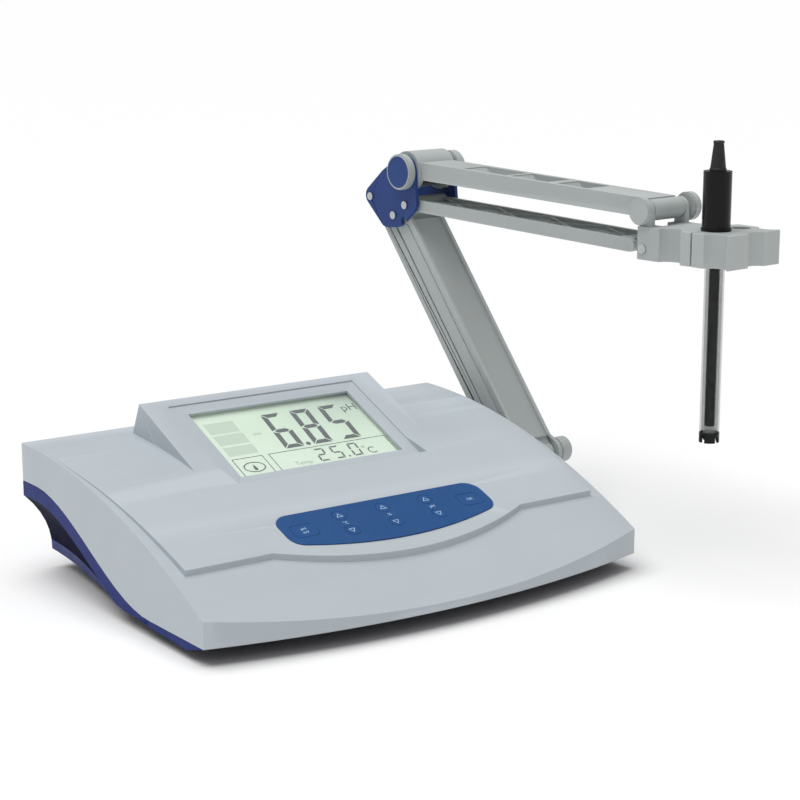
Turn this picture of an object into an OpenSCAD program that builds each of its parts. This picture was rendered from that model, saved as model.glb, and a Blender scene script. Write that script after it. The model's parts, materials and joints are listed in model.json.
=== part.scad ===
// Benchtop pH meter with a spring-balanced double-parallelogram electrode arm.
// Origin: on the bench, under the middle of the case. +Y is the rear, +X the user's right.

/* [Case] */
// Width of the case
case_w = 294; // [250:1:340]
// Depth of the case between the front corners and the rear wall
case_d = 207; // [180:1:240]
// Height of the deck at the rear wall
deck_h = 78; // [70:1:90]
// How far the deck falls from the rear wall to the front corners
deck_drop = 53; // [44:1:56]
// How far the front edge bows forward of its corners
front_bow = 20; // [8:1:26]
// Thickness of the moulded walls
wall = 2.5; // [2:0.1:3]
// Height of the underside of the case at the front
base_front_h = 4; // [3.5:0.1:5]
// Height of the underside of the case at the rear
base_rear_h = 11; // [9:0.1:13]
// Height of the seam between the two shells at the front
seam_front_h = 10; // [9:0.1:12]
// Height of the seam between the two shells at the rear
seam_rear_h = 55.5; // [50:0.5:60]
// Gap left between the two shells along the seam
seam_gap = 0.3; // [0.2:0.05:0.5]
// Height of the upright band under the seam
band_h = 9; // [6:0.5:12]
// How far the side coves run in under the band at the rear
cove_d = 17; // [10:1:22]

/* [Panel and display] */
// Height of the raised centre panel above the deck, at the front corners
panel_rise = 4.5; // [2:0.1:6]
// Inset of the centre panel from the case sides at its front
panel_inset = 8; // [5:0.5:14]
// Distance of the panel's straight front step behind the front corners
panel_front = 31; // [26:1:36]
// Width of the display pod
pod_w = 164; // [150:1:180]
// Height of the pod's rear edge above the deck
pod_h = 19; // [14:1:24]
// Distance from the rear wall to the pod's rear edge
pod_rear = 24; // [18:1:32]
// Slope of the display face
pod_tilt = 23.4; // [18:0.2:28]
// Width of the display opening
window_w = 114; // [90:1:120]
// Height of the display opening
window_h = 65; // [50:1:68]
// Width of the shallow recess around the display
recess_w = 132; // [126:1:140]
// Height of the shallow recess around the display
recess_h = 85; // [80:1:88]
// Depth of the shallow recess around the display
recess_depth = 0.8; // [0.4:0.1:1.2]
// Thickness of the clear window
window_t = 1.2; // [1:0.1:1.6]
// Thickness of the liquid crystal panel
lcd_t = 2.8; // [2:0.1:3.2]
// Thickness of the backlight
backlight_t = 4; // [3:0.5:5]

/* [Keypad] */
// Width of the keypad
pad_w = 140; // [130:1:150]
// Height of the keypad at its middle
pad_h = 37; // [36:0.5:42]
// How far the keypad's lower edge bows
pad_bow = 11; // [6:0.5:12]
// Radius of the keypad's corners
pad_r = 9.5; // [6:0.5:11]
// Distance of the keypad's middle behind the front corners
pad_y = 41; // [39:0.5:44]
// Slope of the keypad
pad_tilt = 20.3; // [17:0.1:23]
// Distance between the columns of arrow keys
key_pitch = 29.8; // [24:0.1:32]
// Radius of an arrow key
key_r = 4.2; // [3:0.1:5]
// Width of the two end keys
end_key_w = 15; // [12:0.5:16]
// Thickness of the keypad's face sheet
sheet_t = 1.2; // [1:0.1:1.5]
// Travel of a key
key_travel = 0.3; // [0.2:0.05:0.4]
// Gap around a key
key_gap = 0.2; // [0.15:0.05:0.3]

/* [Arm] */
// Angle of the arm plane from straight ahead
arm_swivel = 5; // [0:1:30]
// Distance of the swivel post outside the case's side
post_gap = 39; // [31:1:53]
// Distance of the swivel post in front of the rear wall
post_rear = 50; // [40:1:60]
// Length of the lower links between their pivots
lower_len = 190; // [170:1:220]
// Lean of the lower links behind the vertical
lower_lean = 38.3; // [36:0.1:40]
// Length of the upper links between their pivots
upper_len = 216; // [190:1:240]
// Droop of the upper links below the horizontal
upper_droop = 1.8; // [0:0.1:4]
// Distance between the two cheeks of the elbow
cheek_gap = 33; // [31:0.5:38]
// Thickness of the elbow cheeks
cheek_t = 2.5; // [2:0.1:3]
// Width of the lower links
link_w = 30; // [26:0.5:31]
// Thickness of the rear lower link
rear_link_t = 10; // [8:0.5:10]
// Thickness of the front lower link
front_link_t = 15; // [12:0.5:15]
// Height of the upper link
upper_link_h = 11.5; // [10:0.5:12]
// Height of the truss link
truss_h = 8; // [6:0.5:8]
// Radius of the elbow barrel
barrel_r = 13.6; // [13:0.1:14]
// Radius of the elbow bolt
bolt_r = 4; // [3:0.1:4.5]
// Radius of the link pins
pin_r = 2.5; // [2:0.1:2.8]
// Radius of the swivel post
post_r = 8; // [6:0.1:9]
// Wire radius of the balance spring
wire_r = 1.1; // [0.8:0.05:1.2]
// Number of turns of the balance spring
spring_turns = 6; // [4:1:7]
// Radial clearance of a turning fit
run_fit = 0.06; // [0.03:0.01:0.09]

/* [Holder and electrode] */
// Thickness of the holder plate
holder_t = 20; // [16:0.5:22]
// Distance from the wrist to the electrode
holder_reach = 42; // [40:1:46]
// Distance from the wrist axis down to the holder's top face
holder_drop = 9; // [8:0.5:10]
// Radius of the electrode's tube
tube_r = 6; // [5:0.1:6.2]
// Radial clearance of the electrode in the holder
tube_fit = 0.1; // [0.06:0.01:0.1]
// Radius of the electrode's cap
cap_r = 8.4; // [7.5:0.1:9]
// Height of the electrode's cap
cap_h = 35; // [28:1:40]
// Height of the boot above the cap
boot_h = 17.5; // [12:0.5:24]
// Length of the tube below the cap, guard included
tube_len = 127; // [100:1:150]
// Height of the tip guard
guard_h = 6; // [4:0.5:8]

/* [Hidden] */
$fn = 64;

GREY = [0.72, 0.74, 0.77];
BLUE = [0.10, 0.18, 0.45];
PAD_BLUE = [0.15, 0.34, 0.56];
ARM_GREY = [0.64, 0.67, 0.67];
STEEL = [0.70, 0.71, 0.72];
BLACK = [0.08, 0.08, 0.08];

half_w = case_w / 2;
rear_y = case_d / 2;
front_y = -case_d / 2;
bow_r = (pow(half_w, 2) + pow(front_bow, 2)) / (2 * front_bow);
nose_y = front_y - front_bow;
eps = 0.01;
far = 400;

// Stations along the case, from just behind it to just before it; its plan outline trims them.
STATIONS = 24;
function station(i) = rear_y + 1 + (nose_y - 2 - rear_y) * i / STATIONS;
function smooth(t) = let (s = min(1, max(0, t))) s * s * (3 - 2 * s);
function deck_z(y) = deck_h - deck_drop * pow((rear_y - y) / case_d, 2);
function panel_z(y) = deck_h - (deck_drop - panel_rise) * pow((rear_y - y) / case_d, 2);
// The seam stays low along the front quarter and sweeps up to the rear.
seam_y0 = front_y + 0.28 * case_d;
seam_y1 = front_y + 0.92 * case_d;
function seam_z(y) = seam_front_h + (seam_rear_h - seam_front_h) * smooth((y - seam_y0) / (seam_y1 - seam_y0));
function base_z(y) = base_front_h + (base_rear_h - base_front_h) * (y - nose_y) / (rear_y - nose_y);
function band_z(y) = max(base_z(y) + 1, seam_z(y) - band_h);
function cove(y) = cove_d * pow(smooth((y - seam_y0) / (rear_y - seam_y0)), 0.8);
function arc(c, r, a0, a1, n) = [for (i = [0:n]) let (a = a0 + (a1 - a0) * i / n) c + r * [cos(a), sin(a)]];

// ---- shared shapes ----
module along_y(r, y0, y1) {
    translate([0, y1, 0]) rotate([90, 0, 0]) cylinder(r = r, h = y1 - y0);
}

module box(x0, x1, y0, y1, z0, z1) {
    translate([x0, y0, z0]) cube([x1 - x0, y1 - y0, z1 - z0]);
}

module loft(rings) {
    n = len(rings[0]);
    m = len(rings);
    sides = [for (i = [0:m - 2]) for (j = [0:n - 1])
        let (a = i * n + j, b = i * n + (j + 1) % n) each [[a, b, a + n], [b, b + n, a + n]]];
    k = (m - 1) * n;
    caps = [for (j = [0:n / 2 - 2])
        each [[n - 1 - j, n - 2 - j, j + 1, j], [k + j, k + j + 1, k + n - 2 - j, k + n - 1 - j]]];
    polyhedron(points = [for (r = rings) each r], faces = concat(sides, caps), convexity = 6);
}

// Plan of the case, set in by d: straight rear and sides, bowed front.
module case_plan(d) {
    intersection() {
        translate([-half_w + d, nose_y]) square([case_w - 2 * d, rear_y - d - nose_y]);
        translate([0, nose_y + bow_r]) circle(r = bow_r - d, $fn = 360);
    }
}

// A prism across the case under the curve z(y) given as a list of [y, z] points.
module across(outline, w) {
    translate([-w / 2, 0, 0]) rotate([90, 0, 90]) linear_extrude(w) polygon(outline);
}

function seam_pts(lift) = [for (i = [STATIONS:-1:0]) [station(i), seam_z(station(i)) + lift]];
function deck_pts(lift) = [for (i = [0:STATIONS]) [station(i), deck_z(station(i)) + lift]];
function panel_pts(lift) = [for (i = [0:STATIONS]) [station(i), panel_z(station(i)) + lift]];

// Half section of the lower case, from the underside out and up over the cove to the seam
COVE_STEPS = 6;
function half_section(y) = concat(
    [for (k = [COVE_STEPS:-1:1]) let (s = k / COVE_STEPS)
        [half_w - cove(y) * (1 - pow(1 - s, 2.2)), band_z(y) + (base_z(y) - band_z(y)) * s]],
    [[half_w, band_z(y)], [half_w, seam_z(y) - seam_gap]]);
function ring(y) = let (h = half_section(y)) concat(
    [for (p = h) [p[0], y, p[1]]],
    [for (i = [len(h) - 1:-1:0]) [-h[i][0], y, h[i][1]]]);

// ---- display and keypad frames ----
pod_top_y = rear_y - pod_rear;
pod_top_z = deck_h + pod_h;
function pod_z(y) = pod_top_z - (pod_top_y - y) * tan(pod_tilt);
display_y = pod_top_y - (window_h / 2 + 15.5) * cos(pod_tilt);
pod_front_y = display_y - (recess_h / 2 + 2) * cos(pod_tilt);
module on_display() {
    translate([0, display_y, pod_z(display_y)]) rotate([pod_tilt, 0, 0]) children();
}

pad_mid_y = front_y + pad_y;
module on_keypad() {
    translate([0, pad_mid_y, panel_z(pad_mid_y)]) rotate([pad_tilt, 0, 0]) children();
}

// Outline of the keypad, grown by d: straight top, rounded ends, bowed lower edge.
pad_bow_r = (pow(pad_w / 2, 2) + pow(pad_bow, 2)) / (2 * pad_bow);
module pad_outline(d) {
    corner = pad_w / 2 - pad_r;
    low = -pad_h / 2 + pad_bow;
    lean = asin(corner / (pad_bow_r - pad_r));
    foot = -pad_h / 2 + pad_bow_r - (pad_bow_r - pad_r) * cos(lean);
    polygon(concat(
        arc([corner, pad_h / 2 - pad_r], pad_r + d, 90, 0, 8),
        arc([corner, foot], pad_r + d, 0, -90 + lean, 8),
        arc([0, -pad_h / 2 + pad_bow_r], pad_bow_r + d, -90 + lean, -90 - lean, 24),
        arc([-corner, foot], pad_r + d, -90 - lean, -180, 8),
        arc([-corner, pad_h / 2 - pad_r], pad_r + d, 180, 90, 8)));
}

// Keys: columns left, middle, right; rows up and down; and one key at each end.
key_up_y = 9.6;
key_down_y = -4.8;
end_key_x = 57;
end_key_y = 2.5;
end_key_h = 11;
sheet_top = 0.4;
stack_depth = 2;
board_t = 0.8;
dome_h = 0.3;
pad_recess = 1.5;

module round_key(x, y, grow, z0, z1) {
    on_keypad() translate([x, y, z0]) cylinder(r = key_r + grow, h = z1 - z0);
}

module end_key_plan(grow) {
    r = 2.5;
    cx = end_key_w / 2 - r;
    cy = end_key_h / 2 - r;
    polygon(concat(arc([cx, cy], r + grow, 0, 90, 6), arc([-cx, cy], r + grow, 90, 180, 6),
        arc([-cx, -cy], r + grow, 180, 270, 6), arc([cx, -cy], r + grow, 270, 360, 6)));
}

module end_key(side, grow, z0, z1) {
    on_keypad() translate([side * end_key_x, end_key_y, z0]) linear_extrude(z1 - z0) end_key_plan(grow);
}

module all_keys(grow, z0, z1) {
    for (c = [-1:1]) {
        round_key(c * key_pitch, key_up_y, grow, z0, z1);
        round_key(c * key_pitch, key_down_y, grow, z0, z1);
    }
    for (s = [-1, 1]) end_key(s, grow, z0, z1);
}

key_low = sheet_top - 0.9;
module arrow_key(column, row_y) {
    color(PAD_BLUE) round_key(column * key_pitch, row_y, 0, key_low, sheet_top);
}

// ---- case ----
screw_r = 1.5;
screw_spots = [[half_w - 32, rear_y - 22], [-half_w + 32, rear_y - 22],
    [half_w - 24, front_y + 42], [-half_w + 24, front_y + 42]];
boss_r = 4.5;
lower_post_r = 5.5;
screw_sink = 2.5;

module panel_plan() {
    front = front_y + panel_front;
    dip = panel_front - 14;
    reach = pad_w / 2 + 15;
    dip_r = (reach * reach + dip * dip) / (2 * dip);
    polygon([[-half_w + panel_inset, front], [half_w - panel_inset, front],
        [half_w - 2, rear_y - 62], [half_w - 2, rear_y - 40], [-half_w + 2, rear_y - 40],
        [-half_w + 2, rear_y - 62]]);
    intersection() {
        translate([0, front_y + 14 + dip_r]) circle(r = dip_r, $fn = 360);
        translate([-reach, front_y]) square([2 * reach, panel_front + 1]);
    }
}

module pod_prism(d) {
    across([[pod_front_y - 14 + d, deck_z(pod_front_y) - 14], [pod_front_y + d, pod_z(pod_front_y + d) - 1.1 * d],
        [pod_top_y - 0.6 * d, pod_top_z - 1.1 * d - 0.6 * d * tan(pod_tilt)],
        [pod_top_y + 9 - d, deck_z(pod_top_y) - 0.1], [pod_top_y + 9 - d, deck_z(pod_front_y) - 14]],
        pod_w - 2 * d);
}

module deck_space(d, lift) {
    intersection() {
        linear_extrude(far) case_plan(d);
        across(concat(deck_pts(lift), seam_pts(d > 0 ? -wall : 0)), case_w);
    }
}

module upper_case() {
    color(GREY) difference() {
        union() {
            deck_space(0, 0);
            intersection() {
                linear_extrude(far) panel_plan();
                across(concat(panel_pts(0), seam_pts(6)), case_w);
            }
            intersection() {
                pod_prism(0);
                across(concat([[rear_y, far], [nose_y, far]], seam_pts(12)), case_w);
            }
        }
        difference() {
            union() {
                deck_space(wall, -wall);
                pod_prism(wall);
            }
            intersection() {
                for (p = screw_spots) translate([p[0], p[1], 0]) cylinder(r = boss_r, h = far);
                across(concat([[rear_y, far], [nose_y, far]], seam_pts(0.5)), case_w);
            }
            on_keypad() translate([0, 0, -stack_depth - wall]) linear_extrude(far) pad_outline(wall);
            on_display() translate([-recess_w / 2 - wall, -recess_h / 2 - 2 * wall, -wall]) {
                cube([recess_w + 2 * wall, recess_h + 3 * wall, 20]);
            }
        }
        for (p = screw_spots) translate([p[0], p[1], -far]) {
            cylinder(r = screw_r - 0.2, h = far + seam_z(p[1]) + 12);
        }
        on_display() {
            translate([-recess_w / 2, -recess_h / 2 - 1, -recess_depth]) cube([recess_w, recess_h, 20]);
            translate([-window_w / 2, -window_h / 2, -12]) cube([window_w, window_h, 32]);
        }
        on_keypad() {
            translate([0, 0, -stack_depth]) linear_extrude(20) pad_outline(0.15);
            translate([-8, pad_h / 2 - 7, -14]) cube([16, 3, 14]);
        }
    }
}

// Rear opening of the lower case and the panel behind it
opening_w = 224;
opening_z0 = 20;
opening_z1 = 46;
panel_t = 2;
panel_y = rear_y - wall - panel_t;
board_z = 21;
board_spots = [[85, rear_y - 20], [-85, rear_y - 20], [85, rear_y - 92], [-85, rear_y - 92]];
foot_r = 8;
foot_h = 3;
foot_spots = [[half_w - 34, front_y + 26], [-half_w + 34, front_y + 26],
    [half_w - 42, rear_y - 20], [-half_w + 42, rear_y - 20]];

// Bracket that carries the swivel post beside the case
post_x = case_w / 2 + post_gap;
post_y = rear_y - post_rear;
bracket_z0 = 5;
bracket_t = 3;
bracket_w = 34;
bracket_x0 = 62;
hub_top = 20;
hub_r = 15;
bush_wall = 2;
bush_lip = 1.2;
pad_x1 = half_w - cove_d - 6;
bracket_holes = [[bracket_x0 + 8, -9], [bracket_x0 + 8, 9], [pad_x1 - 10, -9], [pad_x1 - 10, 9]];

function base_pts(lift) = [for (y = [rear_y + 1, nose_y - 2]) [y, base_z(y) + lift]];
function band_pts(lift) = [for (i = [0:STATIONS]) [station(i), band_z(station(i)) + lift]];
function side_x(y) = half_w - cove(y) - wall - 0.6;
lid = [[nose_y - 2, far], [rear_y + 1, far]];

// The room in the lower case: narrow beside the cove, wider above the band's edge
module lower_cavity() {
    intersection() {
        translate([0, nose_y + bow_r, 0]) cylinder(r = bow_r - underside - wall, h = far);
        union() {
            intersection() {
                linear_extrude(far) intersection() {
                    case_plan(wall);
                    polygon([for (i = [0:STATIONS]) [side_x(station(i)), station(i)],
                        for (i = [STATIONS:-1:0]) [-side_x(station(i)), station(i)]]);
                }
                across(concat(base_pts(wall), lid), case_w);
            }
            intersection() {
                linear_extrude(far) case_plan(wall);
                across(concat(band_pts(wall), lid), case_w);
            }
        }
    }
}

// A round-fronted column under the case that narrows towards the bench
underside = 24;
module bow_cone() {
    translate([0, nose_y + bow_r, base_front_h - 1]) {
        cylinder(r1 = bow_r - underside, r2 = bow_r, h = seam_front_h + 1 - base_front_h);
        translate([0, 0, seam_front_h + 0.9 - base_front_h]) cylinder(r = bow_r + 1, h = 30);
    }
}

// A post on the floor of the lower case, up to height top
module post(p, r, top) {
    z0 = base_z(p[1]) + 1;
    translate([p[0], p[1], z0]) cylinder(r = r, h = top - z0);
}

module lower_case() {
    coved = concat([seam_y0], [for (i = [STATIONS:-1:1]) if (station(i) > seam_y0 + 0.1) station(i)], [rear_y]);
    joint_y = seam_y0 + 1;
    front_top = [for (p = seam_pts(-seam_gap)) if (p[0] < joint_y) p];
    color(BLUE) difference() {
        union() {
            difference() {
                union() {
                    loft([for (y = coved) ring(y)]);
                    intersection() {
                        linear_extrude(far) case_plan(0);
                        bow_cone();
                        across(concat([[nose_y - 2, base_z(nose_y - 2)]], front_top,
                            [[joint_y, seam_z(joint_y) - seam_gap], [joint_y, base_z(joint_y)]]), case_w);
                    }
                }
                lower_cavity();
            }
            for (p = screw_spots) post(p, lower_post_r, seam_z(p[1]) - 1);
            for (p = board_spots) post(p, 4, board_z);
            for (p = foot_spots) translate([p[0], p[1], foot_h]) {
                cylinder(r = foot_r + 2, h = base_z(p[1]) + 1 - foot_h);
            }
            box(bracket_x0 - 4, pad_x1, post_y - bracket_w / 2 - 2, post_y + bracket_w / 2 + 2,
                bracket_z0 + bracket_t, base_z(post_y) + 3);
        }
        for (p = screw_spots) translate([p[0], p[1], -far]) {
            cylinder(r = screw_r + 0.2, h = 2 * far);
            cylinder(r = 3.4, h = far + base_z(p[1]) + screw_sink);
        }
        for (p = board_spots) translate([p[0], p[1], board_z - 8]) cylinder(r = 1.2, h = 20);
        for (p = foot_spots) translate([p[0], p[1], -1]) cylinder(r = 2.6, h = base_z(p[1]) + 2);
        for (p = bracket_holes) translate([p[0], post_y + p[1], 0]) cylinder(r = 1.6, h = 15);
        box(-opening_w / 2, opening_w / 2, rear_y - wall - 1, rear_y + 5, opening_z0, opening_z1);
    }
}

module rubber_feet() {
    color(BLACK) for (p = foot_spots) translate([p[0], p[1], 0]) {
        cylinder(r1 = foot_r - 1, r2 = foot_r, h = 1);
        translate([0, 0, 1]) cylinder(r = foot_r, h = foot_h - 1);
        translate([0, 0, foot_h - 1]) cylinder(r = 2.6, h = base_z(p[1]) - 1);
    }
}

module case_screws() {
    color(STEEL) for (p = screw_spots) {
        top = base_z(p[1]) + screw_sink;
        translate([p[0], p[1], top - 2]) cylinder(r = 2.9, h = 2);
        translate([p[0], p[1], top]) cylinder(r = screw_r - 0.2, h = seam_z(p[1]) + 10 - top);
    }
}

module main_board() {
    color([0.10, 0.35, 0.20]) difference() {
        box(-95, 95, rear_y - 100, rear_y - 10, board_z, board_z + 1.6);
        for (p = board_spots) translate([p[0], p[1], 0]) cylinder(r = 1.4, h = far);
    }
    color(BLACK) {
        box(-20, 15, rear_y - 65, rear_y - 45, board_z + 1.6, board_z + 4);
        box(35, 48, rear_y - 70, rear_y - 52, board_z + 1.6, board_z + 4);
        box(-70, -50, rear_y - 55, rear_y - 40, board_z + 1.6, board_z + 8);
    }
}

module board_screws() {
    color(STEEL) for (p = board_spots) translate([p[0], p[1], board_z + 1.6]) {
        cylinder(r = 2.6, h = 1.8);
        translate([0, 0, -8]) cylinder(r = 1.2, h = 8.5);
    }
}

// ---- display stack, from the face inwards ----
stack_gap = 0.2;
module plate_at(w, h, z1, t) {
    on_display() translate([-w / 2, -h / 2, z1 - t]) cube([w, h, t]);
}

window_top = -1.1 * wall * cos(pod_tilt) - stack_gap;
module display_window() {
    color([0.85, 0.92, 0.90, 0.4]) plate_at(window_w + 6, window_h + 6, window_top, window_t);
}

module lcd_panel() {
    color([0.84, 0.90, 0.82]) plate_at(window_w + 6, window_h + 6, window_top - window_t - stack_gap, lcd_t);
}

module backlight() {
    color([0.92, 0.92, 0.88])
        plate_at(window_w + 6, window_h + 6, window_top - window_t - lcd_t - 2 * stack_gap, backlight_t);
}

// ---- keypad stack ----
module keypad_sheet() {
    color(PAD_BLUE) difference() {
        on_keypad() translate([0, 0, sheet_top - sheet_t]) linear_extrude(sheet_t) pad_outline(0);
        all_keys(key_gap, -5, 5);
    }
}

module key_board() {
    color([0.75, 0.70, 0.45]) on_keypad() translate([0, 0, -stack_depth]) {
        linear_extrude(board_t) pad_outline(-pad_recess);
    }
}

module key_domes() {
    color(STEEL) {
        z0 = -stack_depth + board_t;
        for (c = [-1:1]) for (y = [key_up_y, key_down_y]) on_keypad() translate([c * key_pitch, y, z0]) {
            cylinder(r = 3, h = dome_h);
        }
        for (s = [-1, 1]) on_keypad() translate([s * end_key_x, end_key_y, z0]) cylinder(r = 3, h = dome_h);
    }
}

module key_mode() { color(PAD_BLUE) end_key(-1, 0, key_low, sheet_top); }
module key_confirm() { color(PAD_BLUE) end_key(1, 0, key_low, sheet_top); }
module key_temp_up() { arrow_key(-1, key_up_y); }
module key_temp_down() { arrow_key(-1, key_down_y); }
module key_slope_up() { arrow_key(0, key_up_y); }
module key_slope_down() { arrow_key(0, key_down_y); }
module key_cal_up() { arrow_key(1, key_up_y); }
module key_cal_down() { arrow_key(1, key_down_y); }

// ---- rear panel and its sockets ----
socket_z = (opening_z0 + opening_z1) / 2;
electrode_x = 88;
reference_x = 62;
temperature_x = 36;
inlet_x = -30;
switch_x = -78;
switch_w = 21;
switch_h = 15;
inlet_w = 10;
inlet_h = 12;
reference_r = 3;
temperature_r = 5;
electrode_r = 6;

module rear_panel() {
    color(GREY) difference() {
        box(-opening_w / 2 - 3, opening_w / 2 + 3, panel_y, panel_y + panel_t, opening_z0 - 2, opening_z1 + 2);
        translate([electrode_x, 0, socket_z]) along_y(electrode_r, 0, far);
        translate([reference_x, 0, socket_z]) along_y(reference_r, 0, far);
        translate([temperature_x, 0, socket_z]) along_y(temperature_r, 0, far);
        box(inlet_x - inlet_w / 2, inlet_x + inlet_w / 2, 0, far, socket_z - inlet_h / 2, socket_z + inlet_h / 2);
        box(switch_x - switch_w / 2, switch_x + switch_w / 2, 0, far, socket_z - switch_h / 2,
            socket_z + switch_h / 2);
    }
}

outer_y = panel_y + panel_t;
module electrode_socket() {
    color(STEEL) translate([electrode_x, 0, socket_z]) {
        along_y(electrode_r, panel_y - 8, outer_y);
        along_y(8, panel_y - 3, panel_y);
        along_y(7.5, outer_y, outer_y + 2);
        difference() {
            union() {
                along_y(4.8, outer_y + 2, outer_y + 14);
                translate([0, outer_y + 10, 0]) cylinder(r = 1, h = 12, center = true);
            }
            along_y(3.6, outer_y + 4, outer_y + 15);
        }
        along_y(0.9, outer_y + 3, outer_y + 12);
    }
}

module reference_terminal() {
    color(BLACK) translate([reference_x, 0, socket_z]) {
        along_y(reference_r, panel_y - 8, outer_y);
        along_y(5, panel_y - 3, panel_y);
        along_y(5, outer_y, outer_y + 3);
        difference() {
            along_y(4.5, outer_y + 3, outer_y + 13);
            along_y(2.05, outer_y + 5, outer_y + 14);
        }
    }
}

module temperature_socket() {
    color(STEEL) translate([temperature_x, 0, socket_z]) {
        along_y(temperature_r, panel_y - 8, outer_y);
        along_y(6.5, outer_y, outer_y + 2);
        difference() {
            along_y(4.2, outer_y + 2, outer_y + 9);
            along_y(1.8, outer_y, outer_y + 10);
        }
    }
}

module power_inlet() {
    color(BLACK) translate([inlet_x, 0, socket_z]) difference() {
        box(-inlet_w / 2, inlet_w / 2, panel_y - 10, outer_y + 1, -inlet_h / 2, inlet_h / 2);
        difference() {
            along_y(2.75, panel_y - 7, far);
            along_y(1, panel_y - 8, outer_y);
        }
    }
}

rocker_r = 9;
rocker_tilt = 8;
rocker_back = 4;
rocker_pin_r = 1;
module switch_housing() {
    color(BLACK) translate([switch_x, 0, socket_z]) difference() {
        union() {
            box(-switch_w / 2, switch_w / 2, panel_y - 12, outer_y, -switch_h / 2, switch_h / 2);
            box(-switch_w / 2 - 2, switch_w / 2 + 2, outer_y, outer_y + 1.5, -switch_h / 2 - 2, switch_h / 2 + 2);
        }
        box(-switch_w / 2 + 2, switch_w / 2 - 2, panel_y - 9, far, -switch_h / 2 + 1.5, switch_h / 2 - 1.5);
    }
    color(BLACK) rocker_axis(rocker_pin_r, switch_w - 3);
}

module rocker_axis(r, w) {
    translate([switch_x - w / 2, outer_y - rocker_back, socket_z]) rotate([0, 90, 0]) cylinder(r = r, h = w);
}

// The rocker turns about a cross pin below the panel face and rests tipped to its off side.
module power_rocker() {
    w = switch_w - 5;
    h = switch_h - 6;
    color(BLACK) difference() {
        translate([switch_x, outer_y - rocker_back, socket_z]) rotate([-rocker_tilt, 0, 0]) {
            translate([-w / 2, 0, 0]) rotate([90, 0, 90]) linear_extrude(w) {
                polygon([[-2, -2], [2, -h / 2], [rocker_back + 2.6, -h / 2], [rocker_back + 1.6, 0],
                    [rocker_back + 2.6, h / 2], [2, h / 2], [-2, 2]]);
            }
        }
        rocker_axis(rocker_pin_r + run_fit, switch_w);
    }
}

// ---- arm frame: x runs forward in the arm plane, y across it, z up ----
module on_arm() {
    translate([post_x, post_y, 0]) rotate([0, 0, arm_swivel - 90]) children();
}

module at(p) {
    translate([p[0], 0, p[1]]) children();
}

// Pivot pitch of the lower links, front pivot from rear pivot
lower_pitch = [24, -10.9];
// Truss pivot from the elbow bolt, and holder pin from the wrist
upper_pitch = [1.3, -22.4];
// Elbow bolt from the front lower link's pivot
hub_from_front = [10.5, 30.3];

foot_front = [12.3, 34.8];
foot_rear = foot_front - lower_pitch;
elbow_front = foot_front + lower_len * [-sin(lower_lean), cos(lower_lean)];
elbow_rear = elbow_front - lower_pitch;
hub = elbow_front + hub_from_front;
truss_pivot = hub + upper_pitch;
wrist = hub + upper_len * [cos(upper_droop), -sin(upper_droop)];
holder_pivot = wrist + upper_pitch;
inner_y = cheek_gap / 2;
outer_cheek = inner_y + cheek_t;
side_gap = 0.4;
link_y = link_w / 2;

module arm_bracket() {
    color(STEEL) difference() {
        union() {
            translate([0, post_y, 0]) {
                box(bracket_x0, post_x, -bracket_w / 2, bracket_w / 2, bracket_z0, bracket_z0 + bracket_t);
            }
            translate([post_x, post_y, bracket_z0]) {
                cylinder(r = bracket_w / 2, h = bracket_t);
                cylinder(r = hub_r, h = hub_top - bracket_z0);
            }
        }
        translate([post_x, post_y, 0]) cylinder(r = post_r + bush_wall, h = far);
        for (p = bracket_holes) translate([p[0], post_y + p[1], 0]) cylinder(r = 1.7, h = far);
    }
}

module bracket_screws() {
    color(STEEL) for (p = bracket_holes) translate([p[0], post_y + p[1], 0]) {
        translate([0, 0, bracket_z0 - 1.8]) cylinder(r = 3, h = 1.8);
        translate([0, 0, bracket_z0]) cylinder(r = 1.5, h = bracket_t + 4);
    }
}

module swivel_bush() {
    color([0.85, 0.84, 0.78]) translate([post_x, post_y, 0]) difference() {
        union() {
            translate([0, 0, bracket_z0]) cylinder(r = post_r + bush_wall, h = hub_top - bracket_z0);
            translate([0, 0, hub_top]) cylinder(r = hub_r - 2, h = bush_lip);
        }
        cylinder(r = post_r + run_fit, h = far);
    }
}

foot_z = hub_top + bush_lip + 0.1;
foot_floor = 26;
clip_z = 3;
clip_t = 1.6;
module swivel_post() {
    color(STEEL) translate([post_x, post_y, 0]) {
        translate([0, 0, 2]) cylinder(r = post_r - 1, h = 5);
        translate([0, 0, clip_z + clip_t]) cylinder(r = post_r, h = foot_floor - clip_z - clip_t);
    }
}

module post_clip() {
    color(STEEL) translate([post_x, post_y, clip_z]) difference() {
        cylinder(r = post_r + 3, h = clip_t);
        translate([0, 0, -1]) cylinder(r = post_r - 1, h = 5);
        translate([0, -1.5, -1]) cube([20, 3, 5]);
    }
}

foot_disc_r = 24;
foot_cheek_t = 3;
module foot_side(y0) {
    translate([0, y0 + foot_cheek_t, 0]) rotate([90, 0, 0]) linear_extrude(foot_cheek_t) hull() {
        translate(foot_front) circle(r = 9, $fn = 32);
        translate(foot_rear) circle(r = 9, $fn = 32);
        translate([-20, foot_floor - 2]) square([40, 1]);
    }
}

module arm_foot() {
    color(ARM_GREY) on_arm() difference() {
        union() {
            translate([0, 0, foot_z]) cylinder(r = foot_disc_r, h = foot_floor - foot_z);
            foot_side(inner_y);
            foot_side(-inner_y - foot_cheek_t);
        }
        cylinder(r = post_r, h = far);
        at(foot_front) along_y(pin_r, -far, far);
        at(foot_rear) along_y(pin_r, -far, far);
    }
}

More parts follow.
